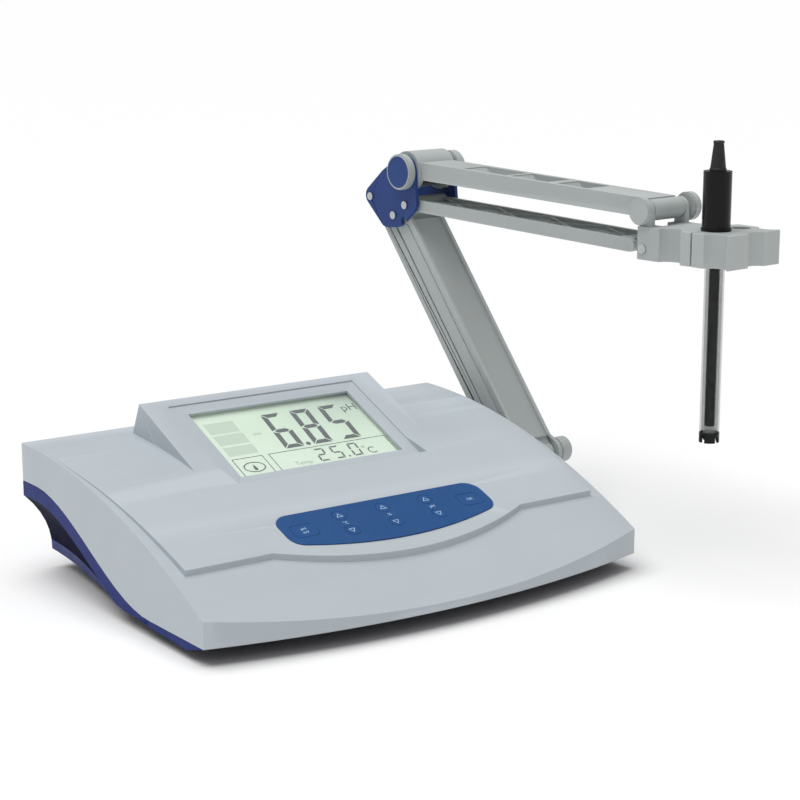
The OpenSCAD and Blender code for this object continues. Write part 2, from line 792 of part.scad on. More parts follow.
foot_outer = inner_y + foot_cheek_t;
module shoulder_pins() {
    color(STEEL) on_arm() {
        at(foot_rear) {
            along_y(pin_r, -foot_outer - 1, foot_outer + 1);
            for (s = [-1, 1]) along_y(pin_r + 1.5, min(s * foot_outer, s * (foot_outer + 1.5)),
                max(s * foot_outer, s * (foot_outer + 1.5)));
        }
        at(foot_front) {
            along_y(pin_r, -foot_outer - 1, foot_outer + 8);
            along_y(pin_r + 1.5, -foot_outer - 1.5, -foot_outer);
        }
    }
}

// A turned clamping knob on a bolt end of radius r, from y0 to y1
module knob(r, bore, y0, y1) {
    difference() {
        union() {
            along_y(r - 0.8, y0, y1);
            along_y(r, y0 + 0.8, y1 - 0.8);
        }
        along_y(bore, y0 - 1, y1 - 2);
    }
}

shoulder_knob_r = 8.5;
module shoulder_knob() {
    color(ARM_GREY) on_arm() at(foot_front) knob(shoulder_knob_r, pin_r + run_fit, foot_outer + 1, foot_outer + 10.5);
}

// ---- lower links: built along +z from the foot pivot, then leaned back ----
link_end_r = 6.3;
front_back = 5.5;
module leaned(p) {
    on_arm() at(p) rotate([0, -lower_lean, 0]) children();
}

// Front link: a channel with a shallow front recess between two edge rails.
module front_link() {
    cut = 9;
    rail = 2.6;
    color(ARM_GREY) leaned(foot_front) difference() {
        union() {
            box(-front_back, front_link_t - front_back, -link_y, link_y, cut, lower_len - cut);
            for (z = [0, lower_len]) translate([0, 0, z]) along_y(link_end_r, -link_y, link_y);
            box(-front_back, front_back - 0.5, -link_y, link_y, 0, lower_len);
        }
        for (z = [0, lower_len]) translate([0, 0, z]) along_y(pin_r + run_fit, -far, far);
        box(front_link_t - front_back - 2, far, -link_y + rail, link_y - rail, 0, lower_len);
        box(-far, -front_back + 7, -link_y + rail, link_y - rail, 18, lower_len - 18);
        for (s = [-1, 1]) translate([0, s * link_y, 0]) {
            box(front_back - 1.5, front_back - 0.5, -0.6, 0.6, cut + 1, lower_len - cut - 1);
        }
    }
}

// Rear link: a plain channel, open to the rear.
module rear_link() {
    half_t = rear_link_t / 2;
    color(ARM_GREY) leaned(foot_rear) difference() {
        union() {
            box(-half_t, half_t, -link_y, link_y, 0, lower_len);
            for (z = [0, lower_len]) translate([0, 0, z]) along_y(half_t + 0.6, -link_y, link_y);
        }
        translate([0, 0, 0]) along_y(pin_r + run_fit, -far, far);
        translate([0, 0, lower_len]) along_y(pin_r + 0.1, -far, far);
        box(-far, half_t - 2, -link_y + 2.2, link_y - 2.2, 12, lower_len - 12);
    }
}

// ---- elbow ----
module cheek(y0) {
    on_arm() difference() {
        translate([0, y0 + cheek_t, 0]) rotate([90, 0, 0]) linear_extrude(cheek_t) difference() {
            hull() {
                translate(hub) circle(r = 11, $fn = 32);
                translate(hub + [-17, -8]) circle(r = 9, $fn = 32);
                translate(elbow_rear + [1, 0.6]) circle(r = 6.5, $fn = 32);
                translate(elbow_front + [-7, -0.4]) circle(r = 8.6, $fn = 32);
                translate(elbow_front + [2.5, 1]) circle(r = 9, $fn = 32);
                translate(truss_pivot + [2.4, 2.6]) circle(r = 9.4, $fn = 32);
            }
            translate(elbow_front + [10.5, -3.2]) circle(r = 2.6);
        }
        at(hub) along_y(bolt_r, -far, far);
        for (p = [elbow_rear, elbow_front, truss_pivot]) at(p) along_y(pin_r, -far, far);
    }
}

module elbow_cheek_left() { color(BLUE) cheek(-outer_cheek); }
module elbow_cheek_right() { color(BLUE) cheek(inner_y); }

module elbow_rivets() {
    head = 1;
    color(STEEL) on_arm() for (p = [elbow_rear, elbow_front, truss_pivot]) at(p) {
        along_y(pin_r, -outer_cheek, outer_cheek);
        for (s = [-1, 1]) translate([0, s * (outer_cheek + head / 2), 0]) rotate([90, 0, 0]) {
            cylinder(r = pin_r + 0.2, h = head, center = true);
        }
    }
}

disc_r = 12;
disc_t = 5.2;
stub = 6;
module elbow_bolt() {
    color(STEEL) on_arm() at(hub) along_y(bolt_r, -outer_cheek - 3, outer_cheek + stub);
}

badge_r = 10.6;
module elbow_cap() {
    color(ARM_GREY) on_arm() at(hub) difference() {
        union() {
            along_y(disc_r, -outer_cheek - disc_t + 0.8, -outer_cheek);
            along_y(disc_r - 0.8, -outer_cheek - disc_t, -outer_cheek);
        }
        along_y(bolt_r, -outer_cheek - 3, far);
        along_y(badge_r, -far, -outer_cheek - disc_t + 1);
    }
}

module cap_badge() {
    color(BLUE) on_arm() at(hub) along_y(badge_r, -outer_cheek - disc_t + 0.2, -outer_cheek - disc_t + 1);
}

module elbow_knob() {
    color(ARM_GREY) on_arm() at(hub) knob(disc_r, bolt_r + run_fit, outer_cheek + 1, outer_cheek + 8.5);
}

// Torsion spring wound round a clear space about the elbow bolt
spring_r = barrel_r - 2 - wire_r - 0.6;
module balance_spring() {
    steps = 20 * spring_turns;
    span = 2 * (inner_y - 6.5);
    function centre(i) = let (a = 360 * i / 20) [spring_r * cos(a), -span / 2 + span * i / steps, spring_r * sin(a)];
    rings = [for (i = [0:steps]) let (a = 360 * i / 20) [for (k = [0:7])
        let (b = 45 * k) centre(i) + wire_r * [cos(b) * cos(a), sin(b), cos(b) * sin(a)]]];
    color(STEEL) on_arm() at(hub) loft(rings);
}

// ---- upper links: built along +x from the elbow, then drooped ----
wrist_y = 13;
wrist_barrel_r = 6.4;
module drooped(p) {
    on_arm() at(p) rotate([0, upper_droop, 0]) children();
}

link_low = -4.5;
link_high = link_low + upper_link_h;
barrel_end = 4;
pocket_spots = [[50, 40], [94, 34], [136, 27]];
module upper_link() {
    color(ARM_GREY) drooped(hub) difference() {
        union() {
            along_y(barrel_r, -inner_y + side_gap, inner_y - side_gap);
            translate([upper_len, 0, 0]) along_y(wrist_barrel_r, -wrist_y, wrist_y);
            translate([0, 0, link_low]) linear_extrude(upper_link_h) {
                polygon([[0, -link_y], [upper_len, -wrist_y], [upper_len, wrist_y], [0, link_y]]);
            }
        }
        along_y(bolt_r + run_fit, -far, far);
        translate([upper_len, 0, 0]) along_y(pin_r + run_fit, -far, far);
        along_y(barrel_r - 2, -inner_y + side_gap + barrel_end, inner_y - side_gap - barrel_end);
        box(-8, barrel_r + 1, -inner_y + side_gap + barrel_end, inner_y - side_gap - barrel_end, -far, link_low);
        translate([upper_len, 0, 0]) difference() {
            box(-2, far, -far, far, -far, far);
            along_y(wrist_barrel_r, -far, far);
        }
        for (p = pocket_spots) translate([p[0], 10, 0]) rotate([90, 0, 0]) linear_extrude(20) {
            polygon([[0, link_high + 1], [0, link_high - 0.5], [0.3 * p[1], link_low + 3],
                [p[1], link_low + 3], [p[1], link_high + 1]]);
        }
    }
}

// Truss link: two rails joined by crossed ribs, a barrel at the elbow and a tongue at the holder
tongue_y = 7.5;
tongue_r = 4.8;
rail_t = 3;
rail_end = 10;
truss_barrel_r = 5.4;
bays = 4;
module truss_link() {
    x0 = 6;
    x1 = upper_len - rail_end;
    half_h = truss_h / 2;
    bay = (x1 - x0) / bays;
    color(ARM_GREY) drooped(truss_pivot) difference() {
        union() {
            along_y(truss_barrel_r, -inner_y + side_gap, inner_y - side_gap);
            for (s = [-1, 1]) translate([0, s * (link_y - rail_t / 2), 0]) {
                box(0, x1 - half_h, -rail_t / 2, rail_t / 2, -half_h, half_h);
                translate([x1 - half_h, 0, 0]) along_y(half_h, -rail_t / 2, rail_t / 2);
            }
            for (i = [0:bays - 1]) for (s = [-1, 1]) {
                lean = atan2(2 * link_y - rail_t, bay);
                run = norm([bay, 2 * link_y - rail_t]);
                translate([x0 + (i + 0.5) * bay, 0, half_h - 2]) rotate([0, 0, s * lean]) {
                    cube([run - 1.5, 1.8, 2.4], center = true);
                }
            }
            box(x0, x1 - half_h, -link_y + 1, link_y - 1, half_h - 4, half_h - 2.6);
            box(x1 - 14, x1 - half_h, -link_y + 1, link_y - 1, -half_h, half_h);
            box(x1 - 8, upper_len, -tongue_y, tongue_y, -half_h, half_h);
            translate([upper_len, 0, 0]) along_y(tongue_r, -tongue_y, tongue_y);
        }
        along_y(pin_r + run_fit, -far, far);
        translate([upper_len, 0, 0]) along_y(pin_r + 0.1, -far, far);
    }
}

// ---- holder ----
ear_t = 3.6;
ear_y = wrist_y + side_gap;
plate_top = -holder_drop;
plate_low = plate_top - holder_t;
near_y = -18.5;
far_y = 33;
front_x = holder_reach + 23;
scallops = [[22.5, near_y - 1.5, 8.5], [57, near_y - 2, 8.5], [front_x + 3, 9.5, 7.8], [front_x - 10, far_y + 3, 8.5],
    [22, far_y + 1, 9.5]];
spare_spot = [holder_reach + 1, 21];

module holder_plan() {
    difference() {
        union() {
            translate([-3, near_y]) square([20, 2 * -near_y]);
            hull() {
                translate([17, near_y + 4]) circle(r = 4, $fn = 32);
                translate([front_x - 4, near_y + 4]) circle(r = 4, $fn = 32);
                translate([front_x - 4, far_y - 4]) circle(r = 4, $fn = 32);
                translate([20, far_y - 4]) circle(r = 4, $fn = 32);
            }
        }
        for (c = scallops) translate([c[0], c[1]]) circle(r = c[2]);
    }
}

module electrode_holder() {
    slit = 1.2;
    color(ARM_GREY) on_arm() at(wrist) difference() {
        union() {
            translate([0, 0, plate_low]) linear_extrude(holder_t) holder_plan();
            for (y0 = [-ear_y - ear_t, ear_y]) translate([0, y0 + ear_t, 0]) rotate([90, 0, 0]) {
                linear_extrude(ear_t) {
                    circle(r = 6.4);
                    translate([-2.6, plate_top - 1]) square([9, 1 - plate_top]);
                }
            }
        }
        along_y(pin_r, -far, far);
        translate([0, 0, -far]) translate([holder_reach, 0, 0]) cylinder(r = tube_r + tube_fit, h = 2 * far);
        translate([spare_spot[0], spare_spot[1], -far]) cylinder(r = tube_r + tube_fit, h = 2 * far);
        translate([holder_reach - 3.5, near_y - 1, plate_low - 1]) cube([slit, -near_y, holder_t + 2]);
        at(upper_pitch) {
            along_y(pin_r, near_y - 1, -near_y + 1);
            box(-20, tongue_r + 1, -tongue_y - side_gap, tongue_y + side_gap, -20, 20);
        }
        box(-20, 1, -tongue_y - side_gap, tongue_y + side_gap, plate_low - 1, plate_top + 1);
    }
}

module wrist_bolt() {
    color(STEEL) on_arm() at(wrist) along_y(pin_r, -ear_y - ear_t - 2, ear_y + ear_t + 6);
}

wrist_disc_r = 8.2;
module wrist_cap() {
    y1 = -ear_y - ear_t;
    color(ARM_GREY) on_arm() at(wrist) difference() {
        union() {
            along_y(wrist_disc_r, y1 - 3.8, y1);
            along_y(wrist_disc_r - 0.6, y1 - 4.4, y1);
        }
        along_y(pin_r, y1 - 2, far);
    }
}

module wrist_knob() {
    y0 = ear_y + ear_t + 3.2;
    color(ARM_GREY) on_arm() at(wrist) knob(wrist_disc_r + 0.5, pin_r + run_fit, y0, y0 + 6);
}

module holder_pin() {
    color(STEEL) on_arm() at(holder_pivot) {
        along_y(pin_r, near_y, -near_y);
        along_y(pin_r + 0.4, near_y - 0.8, near_y);
    }
}

// ---- electrode: built down from the holder's top face ----
stem_r = 3.1;
bulb_inset = 2.2;
tube_wall = 1;
module on_electrode() {
    on_arm() at(wrist) translate([holder_reach, 0, plate_top]) children();
}

module electrode_cap() {
    color(BLACK) on_electrode() difference() {
        union() {
            translate([0, 0, 1.8]) cylinder(r = cap_r, h = cap_h - 1.8);
            cylinder(r = cap_r + 0.6, h = 1.8);
        }
        translate([0, 0, -1]) cylinder(r = tube_r, h = 9);
        translate([0, 0, cap_h - 5]) cylinder(r = 5, h = 6);
    }
}

module electrode_boot() {
    color(BLACK) on_electrode() translate([0, 0, cap_h - 5]) difference() {
        rotate_extrude() {
            polygon([[0, 0], [5, 0], [5, 6.2], [4.6, 6.8], [3, 3.4 + boot_h], [3.3, 3.8 + boot_h],
                [3.3, 4.6 + boot_h], [2.9, 5 + boot_h], [0, 5 + boot_h]]);
        }
        translate([0, 0, -1]) cylinder(r = 1.6, h = boot_h + 10);
    }
}

module electrode_tube() {
    color([0.85, 0.88, 0.88, 0.5]) on_electrode() difference() {
        translate([0, 0, -tube_len + guard_h]) cylinder(r = tube_r, h = tube_len - guard_h + 8);
        translate([0, 0, -tube_len]) cylinder(r = tube_r - tube_wall, h = 2 * tube_len);
    }
}

module electrode_stem() {
    color(BLACK) on_electrode() translate([0, 0, -tube_len + 10]) cylinder(r = stem_r, h = tube_len - 2);
}

module glass_bulb() {
    color([0.80, 0.85, 0.85, 0.5]) on_electrode() translate([0, 0, -tube_len + 6.2]) {
        sphere(r = tube_r - bulb_inset);
        cylinder(r = stem_r - 1.1, h = 3.8);
    }
}

// Slotted skirt that shields the bulb
module tip_guard() {
    color(BLACK) on_electrode() translate([0, 0, -tube_len]) difference() {
        cylinder(r = tube_r + 0.1, h = guard_h);
        translate([0, 0, -1]) cylinder(r = tube_r - 1.4, h = guard_h + 2);
        for (a = [0, 90]) rotate([0, 0, a]) translate([-10, -1.2, -1]) cube([20, 2.4, 4]);
    }
}

upper_case();
lower_case();
rear_panel();
display_window();
lcd_panel();
backlight();
main_board();
key_board();
key_domes();
keypad_sheet();
key_mode();
key_confirm();
key_temp_up();
key_temp_down();
key_slope_up();
key_slope_down();
key_cal_up();
key_cal_down();
rubber_feet();
case_screws();
board_screws();
electrode_socket();
reference_terminal();
temperature_socket();
power_inlet();
switch_housing();
power_rocker();
arm_bracket();
bracket_screws();
swivel_bush();
swivel_post();
post_clip();
arm_foot();
shoulder_pins();
shoulder_knob();
front_link();
rear_link();
elbow_cheek_left();
elbow_cheek_right();
elbow_rivets();
elbow_bolt();
elbow_cap();
cap_badge();
balance_spring();
elbow_knob();
upper_link();
truss_link();
electrode_holder();
wrist_bolt();
wrist_cap();
holder_pin();
wrist_knob();
electrode_cap();
electrode_boot();
electrode_tube();
electrode_stem();
glass_bulb();
tip_guard();
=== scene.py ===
import json
import math

import bmesh
import bpy
from mathutils import Matrix, Vector


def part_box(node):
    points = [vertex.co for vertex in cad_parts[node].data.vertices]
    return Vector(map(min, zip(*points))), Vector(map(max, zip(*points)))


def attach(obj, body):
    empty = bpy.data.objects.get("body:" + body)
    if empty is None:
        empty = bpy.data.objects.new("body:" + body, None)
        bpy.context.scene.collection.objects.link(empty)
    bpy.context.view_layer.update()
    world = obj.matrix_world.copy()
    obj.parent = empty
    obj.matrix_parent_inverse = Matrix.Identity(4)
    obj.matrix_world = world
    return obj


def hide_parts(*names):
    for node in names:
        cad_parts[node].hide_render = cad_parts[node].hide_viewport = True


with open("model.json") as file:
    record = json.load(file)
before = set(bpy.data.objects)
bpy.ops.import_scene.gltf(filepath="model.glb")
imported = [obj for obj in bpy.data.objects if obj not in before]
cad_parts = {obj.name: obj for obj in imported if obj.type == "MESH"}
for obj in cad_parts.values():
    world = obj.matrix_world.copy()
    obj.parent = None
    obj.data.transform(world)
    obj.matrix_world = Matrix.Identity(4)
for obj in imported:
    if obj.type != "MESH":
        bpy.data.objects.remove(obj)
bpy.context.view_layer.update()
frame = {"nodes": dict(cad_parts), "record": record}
MM = 0.001

# ---------------------------------------------------------------- colours


def lin(r, g, b):
    """A display colour, 0 to 255, as linear light."""
    def one(v):
        v /= 255
        return v / 12.92 if v <= 0.04045 else ((v + 0.055) / 1.055) ** 2.4
    return (one(r), one(g), one(b), 1.0)


BODY = lin(184, 192, 198)
PANEL_BACK = lin(150, 152, 155)
BAND = lin(10, 36, 112)
COVE_SHADE = lin(14, 17, 46)
# the base blue darkened: painted shade for the coves under the band
PAD = lin(28, 76, 132)
ARM = lin(178, 184, 183)
CHEEK = lin(30, 60, 122)
BLACK = lin(7, 7, 8)
INK = lin(24, 32, 44)
LEGEND = lin(176, 202, 226)

# ---------------------------------------------------------------- materials


def nodes_of(name):
    m = bpy.data.materials.new(name)
    m.use_nodes = True
    tree = m.node_tree
    return m, tree, tree.nodes["Principled BSDF"]


# bump heights in metres
GRAIN_HEIGHT = 0.00008
STREAK_HEIGHT = 0.00005
RUBBER_HEIGHT = 0.0001
TRACE_HEIGHT = 0.0001
GLASS_HEIGHT = 0.00003
# pointiness of a flat face, and of an edge that shows its full painted highlight
FLAT_POINT, EDGE_POINT = 0.50, 0.57


def coords(tree, scale, stretch=(1, 1, 1)):
    """Object coordinates, so that every view and pose sees the same pattern."""
    tc = tree.nodes.new("ShaderNodeTexCoord")
    mp = tree.nodes.new("ShaderNodeMapping")
    mp.inputs["Scale"].default_value = [scale * s for s in stretch]
    tree.links.new(tc.outputs["Object"], mp.inputs["Vector"])
    return mp.outputs["Vector"]


def noise(tree, vector, detail=3.0, rough=0.55):
    n = tree.nodes.new("ShaderNodeTexNoise")
    n.inputs["Scale"].default_value = 1.0
    n.inputs["Detail"].default_value = detail
    n.inputs["Roughness"].default_value = rough
    tree.links.new(vector, n.inputs["Vector"])
    return n.outputs["Fac"]


def ramp(tree, fac, stops):
    r = tree.nodes.new("ShaderNodeValToRGB")
    els = r.color_ramp.elements
    while len(els) < len(stops):
        els.new(0.5)
    for e, (p, c) in zip(els, stops):
        e.position, e.color = p, c
    tree.links.new(fac, r.inputs["Fac"])
    return r.outputs["Color"]


def shade(c, k):
    return tuple(min(1.0, v * k) for v in c[:3]) + (1.0,)


def grey(v):
    return (v, v, v, 1.0)


def bump(tree, bsdf, height, strength, distance):
    b = tree.nodes.new("ShaderNodeBump")
    b.inputs["Strength"].default_value = strength
    b.inputs["Distance"].default_value = distance
    tree.links.new(height, b.inputs["Height"])
    tree.links.new(b.outputs["Normal"], bsdf.inputs["Normal"])


def painted_edge_highlight(tree, base, light):
    """Base colour with a painted highlight, a lighter tint, where edges are rounded off."""
    geo = tree.nodes.new("ShaderNodeNewGeometry")
    edge = ramp(tree, geo.outputs["Pointiness"], [(FLAT_POINT, grey(0)), (EDGE_POINT, grey(1))])
    mix = tree.nodes.new("ShaderNodeMix")
    mix.data_type = "RGBA"
    tree.links.new(edge, mix.inputs[0])
    tree.links.new(base, mix.inputs[6])
    mix.inputs[7].default_value = light
    return mix.outputs[2]


def plastic(name, colour, rough=0.42, depth=0.35, vary=0.05, edge=1.12, shine=0.3):
    """Moulded plastic: fine spark texture, slow drift in tone and gloss, painted highlights on rounded edges.
    """
    m, tree, bsdf = nodes_of(name)
    bsdf.inputs["Specular IOR Level"].default_value = shine
    slow = noise(tree, coords(tree, 14), 4.0)
    tone = ramp(tree, slow, [(0.3, shade(colour, 1 - vary)), (0.7, shade(colour, 1 + vary))])
    # rounded edges are lightened by the edge factor: a painted highlight
    tree.links.new(painted_edge_highlight(tree, tone, shade(colour, edge)), bsdf.inputs["Base Color"])
    fine = noise(tree, coords(tree, 1400), 2.0)
    gloss = noise(tree, coords(tree, 60), 3.0)
    tree.links.new(ramp(tree, gloss, [(0.3, grey(rough - 0.05)), (0.7, grey(rough + 0.06))]),
                   bsdf.inputs["Roughness"])
    bump(tree, bsdf, fine, depth, GRAIN_HEIGHT)
    return m


def metal(name, colour, rough=0.28, streak=(1, 1, 30)):
    """Turned or plated metal: fine streaks and slight tarnish."""
    m, tree, bsdf = nodes_of(name)
    bsdf.inputs["Metallic"].default_value = 1.0
    slow = noise(tree, coords(tree, 90), 4.0)
    tree.links.new(ramp(tree, slow, [(0.3, shade(colour, 0.85)), (0.7, colour)]), bsdf.inputs["Base Color"])
    line = noise(tree, coords(tree, 500, streak), 2.0)
    tree.links.new(ramp(tree, line, [(0.3, grey(rough - 0.08)), (0.7, grey(rough + 0.12))]),
                   bsdf.inputs["Roughness"])
    bump(tree, bsdf, line, 0.15, STREAK_HEIGHT)
    return m


def rubber(name, colour=BLACK, rough=0.62):
    """Rubber: dull, with cloudy tone and a coarse grain."""
    m, tree, bsdf = nodes_of(name)
    slow = noise(tree, coords(tree, 120), 4.0)
    tone = ramp(tree, slow, [(0.3, shade(colour, 0.8)), (0.7, shade(colour, 1.5))])
    tree.links.new(tone, bsdf.inputs["Base Color"])
    gloss = ramp(tree, slow, [(0.3, grey(rough - 0.08)), (0.7, grey(rough + 0.1))])
    tree.links.new(gloss, bsdf.inputs["Roughness"])
    bump(tree, bsdf, noise(tree, coords(tree, 1800), 2.0), 0.4, RUBBER_HEIGHT)
    return m


def clear(name, colour, alpha=0.2, rough=0.04):
    """Thin clear glass or acrylic: mostly see-through, with a sharp gloss and faint smears."""
    m, tree, bsdf = nodes_of(name)
    smear = noise(tree, coords(tree, 45), 4.0)
    tone = ramp(tree, smear, [(0.3, shade(colour, 0.96)), (0.7, colour)])
    tree.links.new(tone, bsdf.inputs["Base Color"])
    gloss = ramp(tree, smear, [(0.3, grey(rough)), (0.7, grey(rough + 0.08))])
    tree.links.new(gloss, bsdf.inputs["Roughness"])
    bsdf.inputs["Alpha"].default_value = alpha
    bsdf.inputs["IOR"].default_value = 1.48
    bsdf.inputs["Specular IOR Level"].default_value = 0.3
    return m


def board(name):
    """Circuit board: green resist with darker traces."""
    m, tree, bsdf = nodes_of(name)
    v = tree.nodes.new("ShaderNodeTexVoronoi")
    v.distance = "CHEBYCHEV"
    tree.links.new(coords(tree, 220), v.inputs["Vector"])
    v.inputs["Scale"].default_value = 1.0
    tree.links.new(ramp(tree, v.outputs["Distance"], [(0.35, lin(20, 78, 42)), (0.5, lin(34, 104, 58))]),
                   bsdf.inputs["Base Color"])
    bsdf.inputs["Roughness"].default_value = 0.35
    bump(tree, bsdf, v.outputs["Distance"], 0.3, TRACE_HEIGHT)
    return m


MAT_BODY = plastic("body_grey", BODY, rough=0.40, vary=0.02)
MAT_BACK = plastic("rear_grey", PANEL_BACK, rough=0.5)
MAT_BAND = plastic("base_blue", BAND, rough=0.35, depth=0.15, vary=0.04, edge=1.0, shine=0.12)
# a darker copy of the base blue, painted shade for the downward-facing coves
MAT_COVE_SHADE = plastic("base_cove_painted_shade", COVE_SHADE, rough=0.6, depth=0.15, vary=0.04, edge=1.0, shine=0.02)
MAT_PAD = plastic("keypad_film", PAD, rough=0.36, depth=0.25, vary=0.04)
MAT_KEY = plastic("key_film", shade(PAD, 1.03), rough=0.34, depth=0.25, vary=0.04)
MAT_ARM = plastic("arm_grey", ARM, rough=0.46, depth=0.4, vary=0.03)
MAT_CHEEK = plastic("cheek_blue", CHEEK, rough=0.42, depth=0.3, vary=0.05, edge=1.25)
MAT_BADGE = plastic("badge_blue", lin(28, 62, 124), rough=0.3, depth=0.15, vary=0.08)
MAT_BLACK = plastic("black_moulded", BLACK, rough=0.25, depth=0.12, vary=0.1, edge=1.4, shine=0.22)
MAT_STEEL = metal("plated_steel", (0.56, 0.57, 0.58, 1))
MAT_DARK_STEEL = metal("pressed_steel", (0.45, 0.46, 0.48, 1), rough=0.38, streak=(1, 30, 1))
MAT_RUBBER = rubber("rubber")
MAT_BOOT = rubber("boot_rubber", lin(24, 24, 26), 0.5)
MAT_BOARD = board("board_green")
MAT_WINDOW = clear("window_clear", (0.9, 0.97, 0.95, 1), alpha=0.10)
MAT_TUBE = clear("tube_clear", (0.04, 0.043, 0.043, 1), alpha=0.26)
MAT_BULB = clear("bulb_glass", (0.8, 0.88, 0.88, 1), alpha=0.4)
MAT_INK = plastic("segment_ink", INK, rough=0.5, depth=0.05, vary=0.06)
MAT_GHOST = plastic("segment_ghost", lin(190, 206, 188), rough=0.5, depth=0.05)
MAT_PRINT = plastic("print_light", LEGEND, rough=0.5, depth=0.05)


def lcd_material():
    """Liquid crystal glass: pale green, with painted shade making it greyer towards its far right corner
    under the rim, and a fine grain.
    """
    m, tree, bsdf = nodes_of("lcd_glass")
    lo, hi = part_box("lcd_panel")
    tc = tree.nodes.new("ShaderNodeTexCoord")
    mp = tree.nodes.new("ShaderNodeMapping")
    size = hi - lo
    mp.inputs["Location"].default_value = (-lo.x / size.x, -lo.y / size.y, 0)
    mp.inputs["Scale"].default_value = (1 / size.x, 1 / size.y, 0)
    tree.links.new(tc.outputs["Object"], mp.inputs["Vector"])
    far = tree.nodes.new("ShaderNodeVectorMath")
    far.operation = "DISTANCE"
    far.inputs[1].default_value = (1.0, 1.0, 0.0)
    tree.links.new(mp.outputs["Vector"], far.inputs[0])
    # darkest at the far right corner and lighter away from it: painted shade from the window rim, carried
    # into the faint glow as well
    col = ramp(tree, far.outputs["Value"], [(0.0, lin(120, 134, 128)), (0.22, lin(186, 204, 186)),
                                            (0.6, lin(206, 224, 204)), (1.0, lin(214, 230, 212))])
    tree.links.new(col, bsdf.inputs["Base Color"])
    tree.links.new(col, bsdf.inputs["Emission Color"])
    bsdf.inputs["Emission Strength"].default_value = 0.12
    bsdf.inputs["Roughness"].default_value = 0.45
    bump(tree, bsdf, noise(tree, coords(tree, 2500), 1.0), 0.1, GLASS_HEIGHT)
    return m


MAT_LCD = lcd_material()

# ---------------------------------------------------------------- mesh helpers


# vertices nearer than this, in metres, are one; faces within this many degrees are flat
WELD = 2e-6
FLAT = 0.4


def new_object(name, bm, mat, smooth=True):
    bmesh.ops.recalc_face_normals(bm, faces=bm.faces)
    me = bpy.data.meshes.new(name)
    bm.to_mesh(me)
    bm.free()
    for p in me.polygons:
        p.use_smooth = smooth
    me.materials.append(mat)
    ob = bpy.data.objects.new(name, me)
    bpy.context.scene.collection.objects.link(ob)
    return ob


BODY_OF = {n: b for b, nodes in frame["record"]["behaviour"]["bodies"].items() for n in nodes}


def soften(node, mat, width=0.5, segments=3, angle=20):
    """The node's own shape with its edges rounded, in place of the node."""
    src = frame["nodes"][node]
    bm = bmesh.new()
    bm.from_mesh(src.data)
    bmesh.ops.remove_doubles(bm, verts=bm.verts, dist=WELD)
    bmesh.ops.dissolve_limit(bm, angle_limit=math.radians(FLAT), verts=bm.verts, edges=bm.edges)
    bmesh.ops.triangulate(bm, faces=[f for f in bm.faces if len(f.verts) > 4])
    turn = math.radians(angle)
    for e in bm.edges:
        e.smooth = len(e.link_faces) == 2 and e.calc_face_angle(0.0) < turn
    piece = new_object(node + "_shape", bm, mat)
    bev = piece.modifiers.new("round", "BEVEL")
    bev.width = width * MM
    bev.segments = segments
    bev.limit_method = "ANGLE"
    bev.angle_limit = turn
    bev.harden_normals = True
    bev.miter_outer = "MITER_ARC"
    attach(piece, BODY_OF[node])
    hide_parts(node)
    return piece


def dress(node, mat):
    """The CAD node as it is, with a material."""
    ob = frame["nodes"][node]
    ob.data.materials.clear()
    ob.data.materials.append(mat)


def plate(bm, pts, z0, z1):
    """A flat closed plate over an outline of (x, y) points, from z0 to z1."""
    low = [bm.verts.new((x, y, z0)) for x, y in pts]
    top = [bm.verts.new((x, y, z1)) for x, y in pts]
    n = len(pts)
    bm.faces.new(top)
    bm.faces.new(low[::-1])
    for i in range(n):
        j = (i + 1) % n
        bm.faces.new((low[i], low[j], top[j], top[i]))


def plane_frame(node, tilt):
    """Frame of a tilted plate: middle of its top face, x to the right, y up the slope."""
    lo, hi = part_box(node)
    mid = (lo + hi) / 2
    up = Vector((0, -math.sin(tilt), math.cos(tilt)))
    along = Vector((0, math.cos(tilt), math.sin(tilt)))
    half = max((v.co - mid).dot(up) for v in frame["nodes"][node].data.vertices)
    o = mid + up * half
    return Matrix((
        (1, along.x, up.x, o.x),
        (0, along.y, up.y, o.y),
        (0, along.z, up.z, o.z),
        (0, 0, 0, 1),
    ))


def place(ob, matrix, body):
    """Moves a piece drawn in millimetres on a tilted plate to its place on the object."""
    ob.data.transform(Matrix.Diagonal((MM, MM, MM, 1)))
    ob.data.transform(matrix)
    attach(ob, body)
    return ob


# ---------------------------------------------------------------- housings

# faces of the lower case that look down by more than this are its coves, painted darker as shade under the
# overhanging band
COVE_SHADE_NORMAL_Z = -0.12

soften("upper_case", MAT_BODY, 0.9, 3, 11)
base = soften("lower_case", MAT_BAND, 0.5, 2, 24)
base.data.materials.append(MAT_COVE_SHADE)
# downward-facing faces take the painted shade material
for p in base.data.polygons:
    if p.normal.z < COVE_SHADE_NORMAL_Z:
        p.material_index = 1
soften("rear_panel", MAT_BACK, 0.4, 2)
for n in ("front_link", "rear_link", "upper_link", "truss_link"):
    soften(n, MAT_ARM, 0.5, 3)
soften("arm_foot", MAT_ARM, 0.6, 3)
soften("electrode_holder", MAT_ARM, 0.8, 3)
for n in ("elbow_cheek_left", "elbow_cheek_right"):
    soften(n, MAT_CHEEK, 0.5, 3)
soften("elbow_cap", MAT_ARM, 0.5, 3)
soften("cap_badge", MAT_BADGE, 0.15, 2)
soften("wrist_cap", MAT_ARM, 0.5, 3)
for n in ("elbow_knob", "wrist_knob", "shoulder_knob"):
    soften(n, MAT_ARM, 0.6, 3)
for n in ("elbow_rivets", "elbow_bolt", "wrist_bolt", "holder_pin",
          "shoulder_pins", "post_clip", "swivel_post"):
    soften(n, MAT_STEEL, 0.3, 2)
soften("arm_bracket", MAT_DARK_STEEL, 0.4, 2)
soften("swivel_bush", MAT_BLACK, 0.3, 2)
